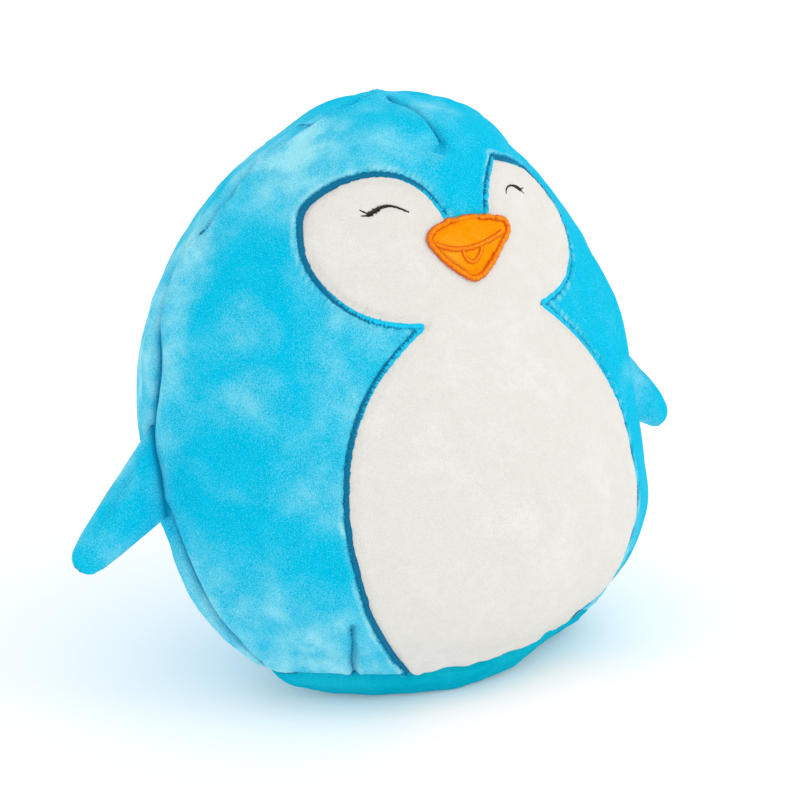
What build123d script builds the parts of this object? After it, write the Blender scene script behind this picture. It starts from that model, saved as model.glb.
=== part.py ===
from build123d import *
import os
from math import pi, sin

# Pillow plush penguin. Millimetres, +Z up, the face looks along -Y. The origin is on the floor,
# in the plane where the side seams come down, so the base rests on z = 0.

# ---------------------------------------------------------------- body
HEIGHT = 300.0  # base to crown of the head
BACK_LEAN = 62.0  # how far the crown sits behind the base, because the stuffed body leans back
BACK_ARCH = 20.0  # how far the side seam also bows backwards at mid height
FABRIC = 2.0  # one layer of pile fabric, its pile included
BASE_SEAM_Z = 17.0  # height of the seam between the body panels and the base panel

# The pillow at a few heights: (height, half width, depth in front of the side seam, depth behind it)
STATIONS = [
    (0.0, 64.0, 32.0, 50.0),
    (6.0, 93.0, 42.0, 62.0),
    (BASE_SEAM_Z, 110.0, 52.0, 74.0),
    (40.0, 132.5, 81.0, 101.0),
    (70.0, 145.5, 103.0, 115.5),
    (105.0, 149.0, 110.0, 120.0),
    (145.0, 150.0, 104.0, 113.0),
    (185.0, 143.5, 96.0, 103.0),
    (220.0, 125.0, 86.5, 92.0),
    (250.0, 99.0, 77.0, 75.0),
    (275.0, 71.0, 64.5, 54.0),
    (290.0, 49.0, 50.0, 39.0),
    (297.0, 28.0, 32.0, 25.0),
    (HEIGHT, 8.0, 10.0, 8.0),
]

# ---------------------------------------------------------------- flipper
ROOT_LOW_Z = 103.0  # the flipper is caught in the side seam between these two heights
ROOT_HIGH_Z = 149.0
ROOT_GAP = 0.8  # from the widest part of the body to the root edge of the flipper
FLIPPER_SWEEP = 12.0  # degrees that the flippers are swept back about their roots
# Corners in the flipper's own plane, as (out from the root, up along the root)
ROOT_TOP = Vector(0.0, 23.8)
ROOT_FOOT = Vector(0.0, -23.8)
TIP_UPPER = Vector(54.0, -32.0)
TIP_LOWER = Vector(43.0, -45.0)
FLIPPER_FABRIC = 1.5
# From root to tip: (fraction of the length, share of the width, half thickness)
FLIPPER_SECTIONS = [
    (0.0, 1.0, 1.0),
    (0.12, 1.0, 4.0),
    (0.35, 1.0, 7.5),
    (0.6, 1.0, 8.0),
    (0.82, 0.97, 6.5),
    (0.94, 0.8, 4.0),
    (1.0, 0.45, 2.0),
]

# ---------------------------------------------------------------- white face and belly
APPLIQUE = 1.5  # thickness of the white pile fabric
BORDER_WIDTH = 3.5  # satin stitch round its edge
BORDER_HEIGHT = 2.2  # top of the satin stitch above the body panel
# One side of the outline, as (distance from the centre line, height)
BROW = (12.0, 246.0)  # inner end of the face lobe, under the beak
LOBE = [(29.0, 268.0), (55.0, 266.5), (76.0, 251.0), (82.0, 228.0), (69.0, 207.5)]
NECK = (38.0, 199.0)  # notch between the face lobe and the belly
BELLY = [(66.0, 176.0), (87.0, 139.0), (93.0, 100.0), (82.0, 55.0)]
HEM = (52.0, BASE_SEAM_Z)  # where the belly's edge runs into the base seam

# ---------------------------------------------------------------- eyes
EYE_INNER = (30.5, 253.5)
EYE_TOP = (39.5, 257.0)
EYE_OUTER = (50.5, 252.0)
LASH_TIPS = [(54.5, 255.0), (54.0, 251.0)]
EYE_STROKE = 2.6
LASH_STROKE = 1.4
EYE_HEIGHT = APPLIQUE + 0.7

# ---------------------------------------------------------------- beak
BEAK_CORNER = (25.0, 240.5)
BEAK_TOP = (0.0, 248.0)
BEAK_CHEEK = (14.0, 224.5)  # on the curved side between the corner and the chin
BEAK_CHIN = (0.0, 217.0)
BEAK_CORNER_RADIUS = 3.0
BEAK_HEIGHT = APPLIQUE + 1.5
BEAK_BORDER = 3.0
BEAK_BORDER_HEIGHT = BEAK_HEIGHT + 0.6
MOUTH_DIP = (0.0, 234.5)
TONGUE_HALF_WIDTH = 4.5
TONGUE_FOOT = (0.0, 227.5)
MOUTH_STROKE = 1.4
MOUTH_HEIGHT = BEAK_HEIGHT + 0.7

# ---------------------------------------------------------------- darts and threads
TOP_DART = (281.5, 299.0)  # heights of its two ends on the centre line
BOTTOM_DART_FOOT = (80.0, BASE_SEAM_Z)
BOTTOM_DART_TIP = (89.0, 46.0)
DART_WIDTH = 1.0
DART_HEIGHT = 0.6
SEAM_INSET = 1.0  # the seam threads run this far inside the fabric's outer face
THREAD_RADIUS = 0.4
FLIPPER_THREAD_RADIUS = 0.3
CLOSING_HALF_LENGTH = 35.0  # hand-sewn stretch of the base seam, at the back
CLOSING_WIDTH = 2.5
CLOSING_HEIGHT = 0.8

SEAM_ROLL = 0.3  # the front fabric rolls this far past the side seam
SEAM_HEIGHTS = [-10.0, 0.0, 75.0, 150.0, 225.0, 300.0, 310.0]


def seam_y(height):
    """Y of the side seams at a height: the lean plus a gentle arch."""
    return BACK_ARCH * sin(pi * height / HEIGHT) + BACK_LEAN * height / HEIGHT


def inset_height(height, inset):
    """A station's height once the whole skin has moved in by inset, or out if it is negative."""
    return inset + height * (HEIGHT - 2 * inset) / HEIGHT


def lens_section(plane, half_width, front, back):
    """A lens between two seams: it bulges by front along the plane's -Y and by back along its +Y."""
    with BuildSketch(plane) as section:
        with BuildLine():
            ThreePointArc((-half_width, 0), (0, -front), (half_width, 0))
            ThreePointArc((-half_width, 0), (0, back), (half_width, 0))
        make_face()
    return section.sketch


def pillow(inset=0.0, mode=Mode.ADD):
    """Loft the whole body, its skin moved in by inset."""
    sections = []
    for height, half_width, front, back in STATIONS:
        plane = Plane(origin=(0, seam_y(height), inset_height(height, inset)))
        sections.append(lens_section(plane, half_width - inset, front - inset, back - inset))
    loft(sections=sections, mode=mode)


def export(name, builder):
    builder.part.label = name
    export_step(builder.part, f"parts/{name}.step")


# ---------------------------------------------------------------- seam threads of the body
def seam_points(side, inset, lowest=0.0):
    """Points of one side seam, side -1 on the left and +1 on the right, from lowest upwards."""
    return [
        (side * (half_width - inset), seam_y(height), inset_height(height, inset))
        for height, half_width, front, back in STATIONS
        if height >= lowest
    ]


def body_side_seam():
    """The lock-stitched seam: up the left side, across the crown and down the right side."""
    with BuildPart() as seam:
        left = seam_points(-1, SEAM_INSET, BASE_SEAM_Z)
        right = seam_points(1, SEAM_INSET, BASE_SEAM_Z)
        for points in (left, right):
            with BuildLine():
                path = Spline(*points)
            with BuildSketch(Plane(path @ 0, z_dir=path % 0)):
                Circle(THREAD_RADIUS)
            sweep(path=path)
        with BuildSketch(Plane(left[-1], z_dir=(1, 0, 0))):
            Circle(THREAD_RADIUS)
        extrude(amount=right[-1][0] - left[-1][0])
    return seam


def body_base_seam():
    """The seam round the base panel, in two arcs that meet at the side seams."""
    half_width, front, back = next(sizes for height, *sizes in STATIONS if height == BASE_SEAM_Z)
    z = BASE_SEAM_Z
    y = seam_y(z)
    x = half_width - SEAM_INSET
    with BuildPart() as seam:
        for middle_y in (y - front + SEAM_INSET, y + back - SEAM_INSET):
            with BuildLine():
                path = ThreePointArc((-x, y, z), (0, middle_y, z), (x, y, z))
            with BuildSketch(Plane(path @ 0, z_dir=path % 0)):
                Circle(THREAD_RADIUS)
            sweep(path=path)
    return seam


side_seam_thread = body_side_seam()
with BuildPart() as base_seam_thread:
    add(body_base_seam().part)
    add(side_seam_thread.part, mode=Mode.SUBTRACT)


# ---------------------------------------------------------------- body panels and stuffing
# Everything in front of the side seams, drawn in the YZ plane.
with BuildPart() as front_side:
    with BuildSketch(Plane.YZ):
        with BuildLine():
            seam = Spline(*[(seam_y(z) + SEAM_ROLL, z) for z in SEAM_HEIGHTS])
            Polyline(seam @ 1, (-HEIGHT, SEAM_HEIGHTS[-1]), (-HEIGHT, SEAM_HEIGHTS[0]), seam @ 0)
        make_face()
    extrude(amount=HEIGHT, both=True)

with BuildPart() as body_stuffing:
    pillow(FABRIC)

with BuildPart() as skin:
    pillow()
    for inner in (body_stuffing, side_seam_thread, base_seam_thread):
        add(inner.part, mode=Mode.SUBTRACT)

with BuildPart() as base_panel:
    add(skin.part)
    split(bisect_by=Plane.XY.offset(BASE_SEAM_Z), keep=Keep.BOTTOM)

with BuildPart() as body_front_panel:
    add(skin.part)
    split(bisect_by=Plane.XY.offset(BASE_SEAM_Z), keep=Keep.TOP)
    add(front_side.part, mode=Mode.INTERSECT)

with BuildPart() as body_back_panel:
    add(skin.part)
    split(bisect_by=Plane.XY.offset(BASE_SEAM_Z), keep=Keep.TOP)
    add(front_side.part, mode=Mode.SUBTRACT)


# ---------------------------------------------------------------- pieces sewn on the front panel
def raised(outline, top, bottom=0.0, under=()):
    """A piece on the front panel inside outline, from bottom to top above it, less what is under."""
    with BuildPart() as piece:
        pillow(-top)
        pillow(-bottom, mode=Mode.SUBTRACT)
        extrude(outline.sketch, amount=HEIGHT, both=True, mode=Mode.INTERSECT)
        add(front_side.part, mode=Mode.INTERSECT)
        split(bisect_by=Plane.XY.offset(BASE_SEAM_Z), keep=Keep.TOP)
        for lower in under:
            add(lower.part, mode=Mode.SUBTRACT)
    return piece


# Outlines are drawn in the XZ plane, seen from the front.
with BuildSketch(Plane.XZ) as applique_outline:
    with BuildLine():
        Spline(BROW, *LOBE, NECK)
        Spline(NECK, *BELLY, HEM)
        Line(HEM, (0, HEM[1]))
        Line(BROW, (0, BROW[1]))
        mirror(about=Plane.YZ)
    make_face()

with BuildSketch(Plane.XZ) as applique_border_outline:
    with BuildLine():
        Spline(BROW, *LOBE, NECK)
        Spline(NECK, *BELLY, HEM)
        Line(BROW, (0, BROW[1]))
        mirror(about=Plane.YZ)
    trace(line_width=BORDER_WIDTH)

# A happy closed eye: one bowed stroke with short lashes at its outer end.
with BuildSketch(Plane.XZ) as right_eye_outline:
    with BuildLine():
        ThreePointArc(EYE_INNER, EYE_TOP, EYE_OUTER)
    trace(line_width=EYE_STROKE)
    with BuildLine():
        for tip in LASH_TIPS:
            Line(EYE_OUTER, tip)
    trace(line_width=LASH_STROKE)

with BuildSketch(Plane.XZ) as left_eye_outline:
    add(right_eye_outline.sketch_local)
    mirror(about=Plane.YZ, mode=Mode.REPLACE)

with BuildSketch(Plane.XZ) as beak_outline:
    with BuildLine():
        left_corner = (-BEAK_CORNER[0], BEAK_CORNER[1])
        left_cheek = (-BEAK_CHEEK[0], BEAK_CHEEK[1])
        ThreePointArc(left_corner, BEAK_TOP, BEAK_CORNER)
        ThreePointArc(BEAK_CORNER, BEAK_CHEEK, BEAK_CHIN)
        ThreePointArc(BEAK_CHIN, left_cheek, left_corner)
    make_face()
    fillet(vertices(), radius=BEAK_CORNER_RADIUS)

with BuildSketch(Plane.XZ) as beak_field_outline:
    add(beak_outline.sketch_local)
    offset(amount=-BEAK_BORDER, mode=Mode.REPLACE)

with BuildSketch(Plane.XZ) as beak_border_outline:
    add(beak_outline.sketch_local)
    add(beak_field_outline.sketch_local, mode=Mode.SUBTRACT)

# The lip line, and the small tongue that hangs from its middle.
with BuildSketch(Plane.XZ) as mouth_outline:
    with BuildLine():
        ThreePointArc(left_corner, MOUTH_DIP, BEAK_CORNER)
        ThreePointArc((-TONGUE_HALF_WIDTH, MOUTH_DIP[1]), TONGUE_FOOT, (TONGUE_HALF_WIDTH, MOUTH_DIP[1]))
    trace(line_width=MOUTH_STROKE)
    add(beak_field_outline.sketch_local, mode=Mode.INTERSECT)

with BuildSketch(Plane.XZ) as top_dart_outline:
    with BuildLine():
        Line((0, TOP_DART[0]), (0, TOP_DART[1]))
    trace(line_width=DART_WIDTH)

with BuildSketch(Plane.XZ) as right_dart_outline:
    with BuildLine():
        Line(BOTTOM_DART_FOOT, BOTTOM_DART_TIP)
    trace(line_width=DART_WIDTH)

with BuildSketch(Plane.XZ) as left_dart_outline:
    add(right_dart_outline.sketch_local)
    mirror(about=Plane.YZ, mode=Mode.REPLACE)

face_belly_applique = raised(applique_outline, APPLIQUE)
applique_border_stitching = raised(applique_border_outline, BORDER_HEIGHT, under=[face_belly_applique])
white_face = [face_belly_applique, applique_border_stitching]
left_eye_embroidery = raised(left_eye_outline, EYE_HEIGHT, APPLIQUE)
right_eye_embroidery = raised(right_eye_outline, EYE_HEIGHT, APPLIQUE)
beak_panel = raised(beak_field_outline, BEAK_HEIGHT, under=white_face)
beak_border_stitching = raised(beak_border_outline, BEAK_BORDER_HEIGHT, under=white_face)
beak_mouth_stitching = raised(mouth_outline, MOUTH_HEIGHT, BEAK_HEIGHT)
top_dart_stitching = raised(top_dart_outline, DART_HEIGHT)
left_dart_stitching = raised(left_dart_outline, DART_HEIGHT)
right_dart_stitching = raised(right_dart_outline, DART_HEIGHT)

# The hand-sewn ladder stitch that closed the body after stuffing, over the base seam at the back.
with BuildPart() as closing_stitch:
    pillow(-CLOSING_HEIGHT)
    pillow(mode=Mode.SUBTRACT)
    with BuildSketch(Plane.XZ):
        with Locations((0, BASE_SEAM_Z)):
            Rectangle(2 * CLOSING_HALF_LENGTH, CLOSING_WIDTH)
    extrude(amount=HEIGHT, both=True, mode=Mode.INTERSECT)
    add(front_side.part, mode=Mode.SUBTRACT)


# ---------------------------------------------------------------- flippers
def flipper_plane(side):
    """The flat plane between a flipper's two panels: X points out of the body, Y up the root edge."""
    root_x = max(half_width for height, half_width, front, back in STATIONS) + ROOT_GAP
    root_top = Vector(side * root_x, seam_y(ROOT_HIGH_Z), ROOT_HIGH_Z)
    root_foot = Vector(side * root_x, seam_y(ROOT_LOW_Z), ROOT_LOW_Z)
    upwards = (root_top - root_foot).normalized()
    outwards = Vector(side, 0, 0).rotate(Axis((0, 0, 0), upwards), side * FLIPPER_SWEEP)
    return Plane((root_top + root_foot) / 2, x_dir=outwards, z_dir=outwards.cross(upwards))


def flipper_edges(fraction, width_share):
    """The lower and upper edge of a flipper in its plane, at a fraction of its length."""
    upper = ROOT_TOP + (TIP_UPPER - ROOT_TOP) * fraction
    lower = ROOT_FOOT + (TIP_LOWER - ROOT_FOOT) * fraction
    middle = (upper + lower) / 2
    return middle + (lower - middle) * width_share, middle + (upper - middle) * width_share


def flipper_body(plane, inset=0.0):
    """Loft a whole flipper, or the stuffing inside it when its skin is moved in by inset."""
    sections = []
    for fraction, width_share, thickness in FLIPPER_SECTIONS:
        if thickness > inset:
            lower, upper = [plane.from_local_coords(edge) for edge in flipper_edges(fraction, width_share)]
            across = upper - lower
            section_plane = Plane((upper + lower) / 2, x_dir=across, z_dir=across.cross(plane.z_dir))
            depth = thickness - inset
            sections.append(lens_section(section_plane, across.length / 2 - inset, depth, depth))
    loft(sections=sections)


def flipper_seam(plane):
    """The seam between a flipper's two panels, along its upper and its lower edge."""
    lines = ([], [])
    for fraction, width_share, thickness in FLIPPER_SECTIONS[1:-1]:
        edges = [plane.from_local_coords(edge) for edge in flipper_edges(fraction, width_share)]
        inwards = (edges[1] - edges[0]).normalized() * FLIPPER_FABRIC / 2
        lines[0].append(edges[0] + inwards)
        lines[1].append(edges[1] - inwards)
    with BuildPart() as seam:
        for points in lines:
            with BuildLine():
                path = Spline(*points)
            with BuildSketch(Plane(path @ 0, z_dir=path % 0)):
                Circle(FLIPPER_THREAD_RADIUS)
            sweep(path=path)
    return seam


def flipper(side, name):
    """Build and export one flipper: front panel, back panel, stuffing and seam thread."""
    plane = flipper_plane(side)
    with BuildPart() as stuffing:
        flipper_body(plane, FLIPPER_FABRIC)
    thread = flipper_seam(plane)
    with BuildPart() as sleeve:
        flipper_body(plane)
        add(stuffing.part, mode=Mode.SUBTRACT)
        add(thread.part, mode=Mode.SUBTRACT)
    with BuildPart() as front_panel:
        add(sleeve.part)
        split(bisect_by=plane, keep=Keep.TOP if plane.z_dir.Y < 0 else Keep.BOTTOM)
    with BuildPart() as back_panel:
        add(sleeve.part)
        split(bisect_by=plane, keep=Keep.BOTTOM if plane.z_dir.Y < 0 else Keep.TOP)
    export(f"{name}_flipper_stuffing", stuffing)
    export(f"{name}_flipper_seam_thread", thread)
    export(f"{name}_flipper_front_panel", front_panel)
    export(f"{name}_flipper_back_panel", back_panel)


os.makedirs("parts", exist_ok=True)
export("body_stuffing", body_stuffing)
export("body_front_panel", body_front_panel)
export("body_back_panel", body_back_panel)
export("base_panel", base_panel)
export("side_seam_thread", side_seam_thread)
export("base_seam_thread", base_seam_thread)
export("face_belly_applique", face_belly_applique)
export("applique_border_stitching", applique_border_stitching)
export("left_eye_embroidery", left_eye_embroidery)
export("right_eye_embroidery", right_eye_embroidery)
export("beak_panel", beak_panel)
export("beak_border_stitching", beak_border_stitching)
export("beak_mouth_stitching", beak_mouth_stitching)
export("top_dart_stitching", top_dart_stitching)
export("left_dart_stitching", left_dart_stitching)
export("right_dart_stitching", right_dart_stitching)
export("closing_stitch", closing_stitch)
flipper(-1, "left")
flipper(1, "right")
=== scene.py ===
import math

import bpy
import numpy as np
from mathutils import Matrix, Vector, noise
from mathutils.bvhtree import BVHTree
from mathutils.kdtree import KDTree


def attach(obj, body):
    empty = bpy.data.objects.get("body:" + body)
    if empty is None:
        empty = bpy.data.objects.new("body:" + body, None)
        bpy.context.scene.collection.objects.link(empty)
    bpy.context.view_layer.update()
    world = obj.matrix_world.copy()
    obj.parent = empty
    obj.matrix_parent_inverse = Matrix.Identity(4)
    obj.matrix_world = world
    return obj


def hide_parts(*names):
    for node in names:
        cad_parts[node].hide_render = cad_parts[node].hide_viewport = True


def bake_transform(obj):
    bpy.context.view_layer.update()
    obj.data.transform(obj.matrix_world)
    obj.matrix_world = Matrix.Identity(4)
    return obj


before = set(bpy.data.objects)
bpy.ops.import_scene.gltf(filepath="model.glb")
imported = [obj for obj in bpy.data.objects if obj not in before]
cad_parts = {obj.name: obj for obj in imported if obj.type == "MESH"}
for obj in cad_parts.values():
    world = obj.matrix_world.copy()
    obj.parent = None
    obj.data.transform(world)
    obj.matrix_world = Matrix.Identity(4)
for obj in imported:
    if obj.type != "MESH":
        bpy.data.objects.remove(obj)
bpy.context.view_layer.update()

MM = 0.001

# -------- sizes, in metres
HEIGHT = 0.300
BACK_LEAN = 0.062  # the crown sits this far behind the base
BACK_ARCH = 0.020  # the side seam also bows back by this at mid height
BASE_SEAM_Z = 0.017
BODY_CENTRE = Vector((0.0, 0.045, 0.130))
GRID = 100  # quads along each side of a body panel before it is subdivided

# The edge of the face and belly, as (distance from the centre line, height) in millimetres
LEFT_LOBE = [(12, 246), (16.5, 257), (29, 268.5), (55, 267.5), (76, 251), (82, 228), (69, 207.5), (38, 199)]
LEFT_BELLY = [(38, 199), (66, 176), (87, 139), (93, 100), (82, 55), (52, 17)]
RIGHT_BROW = [(12, 246), (17.5, 259), (31, 271.5)]
RIGHT_LOBE = [RIGHT_BROW[-1], (53, 263.5), (71, 251), (79, 239), (80.5, 226), (71, 210), (38, 199)]
RIGHT_BELLY = [(38, 199), (65, 174), (86, 139), (91, 105), (87, 70), (72, 44), (50, 17)]
STITCH_STEP = 0.80 * MM  # from one satin strand to the next


def seam_y(z):
    return BACK_ARCH * math.sin(math.pi * z / HEIGHT) + BACK_LEAN * z / HEIGHT


# -------- small tools
def surface_of(*objects):
    """A BVH tree over the faces of several objects, in the row frame."""
    points, faces = [], []
    for piece in objects:
        first = len(points)
        points += [piece.matrix_world @ v.co for v in piece.data.vertices]
        faces += [[first + i for i in f.vertices] for f in piece.data.polygons]
    return BVHTree.FromPolygons(points, faces)


def from_outside(surface, centre, direction):
    """The outermost point of a surface seen from centre along direction."""
    away = Vector(direction).normalized()
    hit = surface.ray_cast(Vector(centre) + away, -away)[0]
    return hit if hit is not None else Vector(centre)


def steps_along(points):
    """Distance run from the first point of a polyline to each of its points."""
    return np.concatenate([[0], np.cumsum(np.linalg.norm(np.diff(points, axis=0), axis=1))])


def read_at(at, run, values):
    """Values given at the distances run along a line, read at other distances."""
    return np.stack([np.interp(at, run, column) for column in values.T], axis=1)


def resample(points, count):
    """count + 1 points at even steps along a polyline."""
    points = np.array(points, float)
    run = steps_along(points)
    return read_at(np.linspace(0, run[-1], count + 1), run, points)


def smooth_curve(points, count=200):
    """A natural cubic spline through a few points, as a fine polyline of even steps."""
    points = np.array(points, float)
    t = steps_along(points)
    gap = np.diff(t)
    size = len(t)
    matrix, right = np.eye(size), np.zeros_like(points)
    for k in range(1, size - 1):
        matrix[k, k - 1 : k + 2] = gap[k - 1], 2 * (gap[k - 1] + gap[k]), gap[k]
        after = (points[k + 1] - points[k]) / gap[k]
        before = (points[k] - points[k - 1]) / gap[k - 1]
        right[k] = 6 * (after - before)
    bend = np.linalg.solve(matrix, right)
    at = np.linspace(0, t[-1], 4 * count)
    k = np.clip(np.searchsorted(t, at, side="right") - 1, 0, size - 2)
    h, a, b = gap[k][:, None], (t[k + 1] - at)[:, None], (at - t[k])[:, None]
    line = (bend[k] * a**3 + bend[k + 1] * b**3) / (6 * h)
    line += (points[k] / h - bend[k] * h / 6) * a + (points[k + 1] / h - bend[k + 1] * h / 6) * b
    return resample(line, count)


def new_mesh(name, points, faces, *materials):
    mesh = bpy.data.meshes.new(name)
    mesh.from_pydata([tuple(p) for p in points], [], [tuple(int(i) for i in f) for f in faces])
    mesh.polygons.foreach_set("use_smooth", [True] * len(mesh.polygons))
    mesh.update()
    piece = bpy.data.objects.new(name, mesh)
    for material in materials:
        mesh.materials.append(material)
    bpy.context.scene.collection.objects.link(piece)
    return piece


def coordinates(mesh):
    co = np.empty(3 * len(mesh.vertices))
    mesh.vertices.foreach_get("co", co)
    return co.reshape(-1, 3)


def normals(mesh):
    out = np.empty(3 * len(mesh.vertices))
    mesh.vertex_normals.foreach_get("vector", out)
    return out.reshape(-1, 3)


def move_to(mesh, co):
    mesh.vertices.foreach_set("co", co.ravel())
    mesh.update()


def quads_of(mesh):
    """The four corners of each face."""
    corners = np.empty(4 * len(mesh.polygons), int)
    mesh.polygons.foreach_get("vertices", corners)
    return corners.reshape(-1, 4)


def panels_of(mesh):
    """Each face's panel, which is kept as its material index: 0 front, 1 back, 2 base."""
    panels = np.empty(len(mesh.polygons), int)
    mesh.polygons.foreach_get("material_index", panels)
    return panels


def numbers(grid, first=0):
    """A number for each point of a grid, row by row, counted on from first."""
    rows, columns = grid.shape[:2]
    return first + np.arange(rows * columns).reshape(rows, columns)


def quads_between(ids, flip=False):
    """The quads between the rows and columns of a grid of point numbers; flip turns them over."""
    corners = [ids[:-1, :-1], ids[:-1, 1:], ids[1:, 1:], ids[1:, :-1]]
    return np.stack(corners[::-1] if flip else corners, axis=-1).reshape(-1, 4)


def edges_of(mesh):
    """The first and the second end of each edge."""
    edges = np.empty(2 * len(mesh.edges), int)
    mesh.edges.foreach_get("vertices", edges)
    return edges.reshape(-1, 2).T


def neighbour_mean(edges, values):
    """For each point, the mean value of the points that it shares an edge with."""
    first, second = edges
    total = np.zeros_like(values)
    np.add.at(total, first, values[second])
    np.add.at(total, second, values[first])
    return total / np.bincount(edges.ravel(), minlength=len(values))[:, None]


def apply_modifiers(piece):
    """Replaces a piece's mesh by what its modifiers make of it."""
    graph = bpy.context.evaluated_depsgraph_get()
    mesh = bpy.data.meshes.new_from_object(piece.evaluated_get(graph))
    piece.modifiers.clear()
    piece.data = mesh


def nearest(points, to):
    """For each point, its distance to the nearest of the points in to, and that one's index."""
    tree = KDTree(len(to))
    for k, p in enumerate(to):
        tree.insert(p, k)
    tree.balance()
    found = [tree.find(p) for p in points]
    return np.array([f[2] for f in found]), np.array([f[1] for f in found])


def lumps(points, scale, seed):
    """Smooth noise in space from -1 to 1."""
    shift = Vector((seed, 2.3 * seed, -seed))
    return np.array([noise.noise(Vector(p) * scale + shift) for p in points])


def fade(distance, reach):
    """1 at distance 0, falling smoothly to nothing a few reaches away."""
    return np.exp(-((distance / reach) ** 2))


def around(points, place, reach):
    """1 at a place, falling to nothing around it; place and reach are in millimetres."""
    return fade(np.linalg.norm(points - np.array(place) * MM, axis=1), reach * MM)


# -------- materials
class Nodes:
    """Adds shader nodes to a material and joins them up."""

    def __init__(self, name):
        self.material = bpy.data.materials.new(name)
        self.material.use_nodes = True
        self.tree = self.material.node_tree
        self.shader = self.tree.nodes["Principled BSDF"]

    def add(self, kind, inputs=None, **settings):
        node = self.tree.nodes.new(kind)
        for key, value in settings.items():
            setattr(node, key, value)
        for key, value in (inputs or {}).items():
            self.feed(node.inputs[key], value)
        return node

    def feed(self, socket, value):
        if isinstance(value, bpy.types.NodeSocket):
            self.tree.links.new(value, socket)
        else:
            socket.default_value = value

    def noise(self, scale, detail=3.0, roughness=0.55, distortion=0.0):
        place = self.add("ShaderNodeTexCoord").outputs["Object"]
        values = {"Vector": place, "Scale": scale, "Detail": detail, "Roughness": roughness}
        values["Distortion"] = distortion
        return self.add("ShaderNodeTexNoise", values).outputs["Fac"]

    def curve(self, value, low, high, start=0.0, end=1.0):
        """value from low..high spread over start..end."""
        limits = {"From Min": low, "From Max": high, "To Min": start, "To Max": end}
        return self.add("ShaderNodeMapRange", {"Value": value, **limits}).outputs["Result"]

    def blend(self, factor, first, second):
        node = self.add("ShaderNodeMix", data_type="RGBA")
        self.feed(node.inputs["Factor"], factor)
        self.feed(node.inputs[6], first)
        self.feed(node.inputs[7], second)
        return node.outputs[2]

    def maths(self, operation, first, second):
        node = self.add("ShaderNodeMath", operation=operation)
        self.feed(node.inputs[0], first)
        self.feed(node.inputs[1], second)
        return node.outputs[0]

    def attribute(self, name):
        return self.add("ShaderNodeAttribute", attribute_name=name).outputs["Fac"]

    def surface(self, colour, roughness, bump=None, strength=0.3, distance=0.3 * MM, **direct):
        self.feed(self.shader.inputs["Base Color"], colour)
        self.feed(self.shader.inputs["Roughness"], roughness)
        if bump is not None:
            node = self.add("ShaderNodeBump", {"Height": bump, "Strength": strength, "Distance": distance})
            self.feed(self.shader.inputs["Normal"], node.outputs["Normal"])
        for key, value in direct.items():
            self.shader.inputs[key.replace("_", " ")].default_value = value
        return self.material


def rgb(red, green, blue):
    """A colour given in sRGB from 0 to 255, as linear light."""
    linear = [((c / 255 + 0.055) / 1.055) ** 2.4 if c > 10 else c / 3294 for c in (red, green, blue)]
    return (*linear, 1)


def pile(name, deep, middle, light, patch, sheen, painted_light_layers=False):
    """Short soft pile: single tufts lie light or dark, more of them light where the nap lies light; with
    its layers on, it also shows painted sheen and painted shade read from the pieces.
    """
    n = Nodes(name)
    large = n.curve(n.noise(patch, 1.5, 0.5, 0.5), 0.47, 0.72)
    small = n.curve(n.noise(patch * 4, 2, 0.55), 0.35, 0.7)
    grain = n.noise(1500, 2, 0.8)
    nap = n.maths("ADD", n.maths("MULTIPLY", large, 0.45), n.maths("MULTIPLY", small, 0.2))
    if painted_light_layers:
        # Nap patches with painted sheen make the pile lighter, and painted shade at the dark patches makes
        # it darker
        nap = n.maths("ADD", n.attribute("brushed"), n.maths("MULTIPLY", large, 0.6))
        nap = n.maths("MULTIPLY", nap, n.curve(small, 0, 1, 0.35, 1.0))
    tufts = n.curve(n.maths("ADD", n.maths("MULTIPLY", grain, 1.3), nap), 0.7, 1.7)
    colour = n.blend(tufts, middle, light)
    shadows = n.maths("MULTIPLY", n.curve(grain, 0.3, 0.55, 0.6, 0.0), n.curve(small, 0.0, 1.0, 1.0, 0.4))
    colour = n.blend(shadows, colour, deep)
    if painted_light_layers:
        # Painted shade: darker where the skin sits in seams and darts and beside the flippers' roots
        colour = n.blend(n.attribute("crevice"), colour, rgb(0, 136, 178))
    bump = n.maths("ADD", grain, n.maths("MULTIPLY", small, 0.6))
    return n.surface(
        colour, 0.95, bump, 0.8, 0.6 * MM,
        Sheen_Weight=sheen, Sheen_Roughness=0.3, Sheen_Tint=light, Specular_IOR_Level=0.0,
    )


def thread(name, dark, light, bright_middle=False):
    """Embroidery thread with painted light: "outer" runs from 0 to 1 across a satin stitch, and the other
    layer is how bright each thread is, partly at random and partly painted highlight.
    """
    n = Nodes(name)
    outer, tone = n.attribute("outer"), n.attribute("tone")
    # Painted light: with bright_middle the middle of each stitch is painted bright and its edges dark;
    # otherwise the inner side of each stitch is painted lit and the outer side in shade
    if bright_middle:
        away = n.maths("ABSOLUTE", n.maths("SUBTRACT", outer, 0.5), 0.0)
        share = n.curve(away, 0.42, 0.18)
    else:
        share = n.curve(n.maths("SUBTRACT", n.maths("MULTIPLY", tone, 0.95), outer), -0.1, 0.1)
    share = n.maths("MULTIPLY", share, n.curve(tone, 0.3, 0.7, 0.35, 1.0))
    colour = n.blend(share, dark, light)
    return n.surface(colour, 0.5, n.noise(2500, 1), 0.2, 0.1 * MM, Specular_IOR_Level=0.15)


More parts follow.
